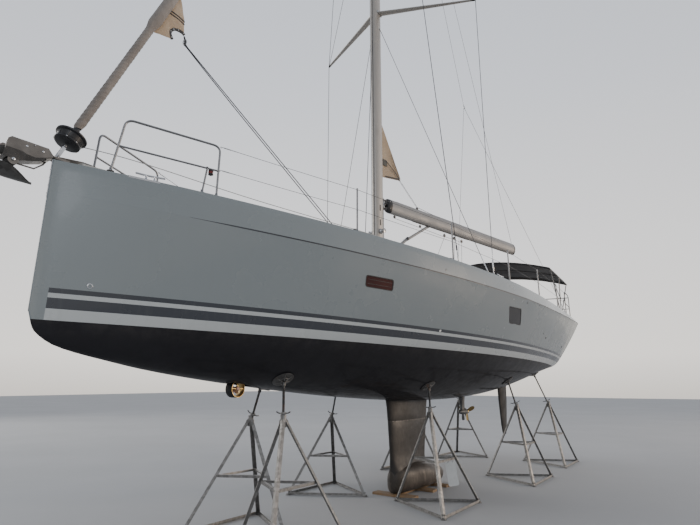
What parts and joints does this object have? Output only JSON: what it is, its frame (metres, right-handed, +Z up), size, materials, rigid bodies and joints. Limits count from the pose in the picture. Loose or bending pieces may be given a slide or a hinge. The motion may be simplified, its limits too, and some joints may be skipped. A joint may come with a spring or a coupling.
{
  "type": "sailing yacht ashore on jack stands",
  "caption": "Cruising sloop standing on its keel and jack stands, headsail furled, boom a little to port, with working rudder, helms, hatches and propeller.",
  "frame": {"origin": "on the ground under the middle of the yacht's bounding box", "axes": "+X towards the bow, +Y to port, +Z up the mast"},
  "size_m": [14.12, 4.364, 21.22],
  "materials": {
    "gelcoat_grey": "satin gelcoat over laminate",
    "gelcoat_white": "gelcoat with moulded non-slip",
    "tinted_glass": "dark tinted acrylic",
    "teak": "weathered teak",
    "stainless": "polished stainless",
    "iron_antifouled": "matt antifouling over iron",
    "antifouling": "matt black antifouling",
    "bronze": "worn bronze",
    "anodised": "clear anodised",
    "black_plastic": "satin black",
    "sailcloth": "weathered tan cover strip",
    "canvas_black": "acrylic canvas",
    "galvanised": "hot-dip galvanised",
    "plank_wood": "rough sawn"
  },
  "bodies": {
    "hull": {"hull": "gelcoat_grey", "deck": "gelcoat_white", "coachroof": "gelcoat_white", "window_port": "tinted_glass", "window_starboard": "tinted_glass", "washboard": "tinted_glass", "coaming_port": "gelcoat_white", "winch_port": "stainless", "coaming_starboard": "gelcoat_white", "winch_starboard": "stainless", "cockpit_table": "teak", "pedestal_port": "gelcoat_white", "pedestal_starboard": "gelcoat_white", "keel_fin": "iron_antifouled", "keel_bulb": "iron_antifouled", "keel_planks": "plank_wood", "saildrive_leg": "antifouling", "thruster_ring": "bronze", "mast": "anodised", "boom_brackets": "black_plastic", "headsail": "sailcloth", "headsail_clew": "sailcloth", "furler_drum": "black_plastic", "mainsail_clew": "sailcloth", "cap_shroud_port": "stainless", "cap_shroud_starboard": "stainless", "backstay": "stainless", "pulpit_port": "stainless", "pulpit_starboard": "stainless", "guard_rail_port": "stainless", "pushpit_port": "stainless", "guard_rail_starboard": "stainless", "pushpit_starboard": "stainless", "bow_roller": "stainless", "anchor": "galvanised", "windlass": "stainless", "bimini_frame": "stainless", "bimini_canopy": "canvas_black", "stand_bow_port": "galvanised", "stand_bow_starboard": "galvanised", "stand_keel_port": "galvanised", "stand_keel_starboard": "galvanised", "stand_mid_port": "galvanised", "stand_mid_starboard": "galvanised", "stand_stern_port": "galvanised", "stand_stern_starboard": "galvanised"},
    "rudder": {"rudder": "antifouling"},
    "wheel_port": {"wheel_port": "stainless"},
    "wheel_starboard": {"wheel_starboard": "stainless"},
    "propeller": {"propeller": "bronze"},
    "thruster_propeller": {"thruster_propeller": "bronze"},
    "boom": {"boom": "anodised", "vang": "anodised"},
    "companionway_hatch": {"companionway_hatch": "tinted_glass"},
    "fore_hatch_lid": {"fore_hatch_lid": "tinted_glass"},
    "cabin_hatch_lid": {"cabin_hatch_lid": "tinted_glass"},
    "anchor_locker_lid": {"anchor_locker_lid": "gelcoat_white"},
    "locker_lid_port": {"locker_lid_port": "teak"},
    "locker_lid_starboard": {"locker_lid_starboard": "teak"},
    "transom_door": {"transom_door": "gelcoat_white"}
  },
  "joints": [
    {"name": "rudder_turn", "type": "hinge", "parent": "hull", "child": "rudder", "pos_m": [-5.81, 0, 2], "axis": [0, 0, 1], "range_deg": [-35, 35]},
    {"name": "wheel_port_turn", "type": "hinge", "parent": "hull", "child": "wheel_port", "pos_m": [-5.46, 0.8, 4.06], "axis": [1, 0, 0], "range_deg": [-280, 280]},
    {"name": "wheel_starboard_turn", "type": "hinge", "parent": "hull", "child": "wheel_starboard", "pos_m": [-5.46, -0.8, 4.06], "axis": [1, 0, 0], "range_deg": [-280, 280]},
    {"name": "propeller_spin", "type": "hinge", "parent": "hull", "child": "propeller", "pos_m": [-3.305, 0, 1.33], "axis": [1, 0, 0], "continuous": true},
    {"name": "thruster_spin", "type": "hinge", "parent": "hull", "child": "thruster_propeller", "pos_m": [4, -0.012, 1.838], "axis": [0, 1, 0], "continuous": true},
    {"name": "boom_swing", "type": "hinge", "parent": "hull", "child": "boom", "pos_m": [0.375, 0, 5.427], "axis": [0, 0, 1], "range_deg": [-53, 76]},
    {"name": "companionway_slide", "type": "slide", "parent": "hull", "child": "companionway_hatch", "axis": [0.999, 0, -0.0438], "range_m": [0, 0.65]},
    {"name": "fore_hatch_hinge", "type": "hinge", "parent": "hull", "child": "fore_hatch_lid", "pos_m": [3.99, 0, 3.98265], "axis": [0, 1, 0], "range_deg": [0, 80]},
    {"name": "cabin_hatch_hinge", "type": "hinge", "parent": "hull", "child": "cabin_hatch_lid", "pos_m": [1.61, 0, 4.07153], "axis": [0, 1, 0], "range_deg": [0, 80]},
    {"name": "anchor_locker_hinge", "type": "hinge", "parent": "hull", "child": "anchor_locker_lid", "pos_m": [4.86, 0, 4.00531], "axis": [0, -1, 0], "range_deg": [0, 85]},
    {"name": "locker_port_hinge", "type": "hinge", "parent": "hull", "child": "locker_lid_port", "pos_m": [-3.65, 1.138, 3.596], "axis": [-1, 0, 0], "range_deg": [0, 80]},
    {"name": "locker_starboard_hinge", "type": "hinge", "parent": "hull", "child": "locker_lid_starboard", "pos_m": [-3.65, -1.138, 3.596], "axis": [1, 0, 0], "range_deg": [0, 80]},
    {"name": "transom_door_hinge", "type": "hinge", "parent": "hull", "child": "transom_door", "pos_m": [-7.054, 0, 3.196], "axis": [0, -1, 0], "range_deg": [0, 88]}
  ],
  "couplings": [
    {"joint": "wheel_port_turn", "follows": "rudder_turn", "ratio": 8},
    {"joint": "wheel_starboard_turn", "follows": "rudder_turn", "ratio": 8}
  ]
}
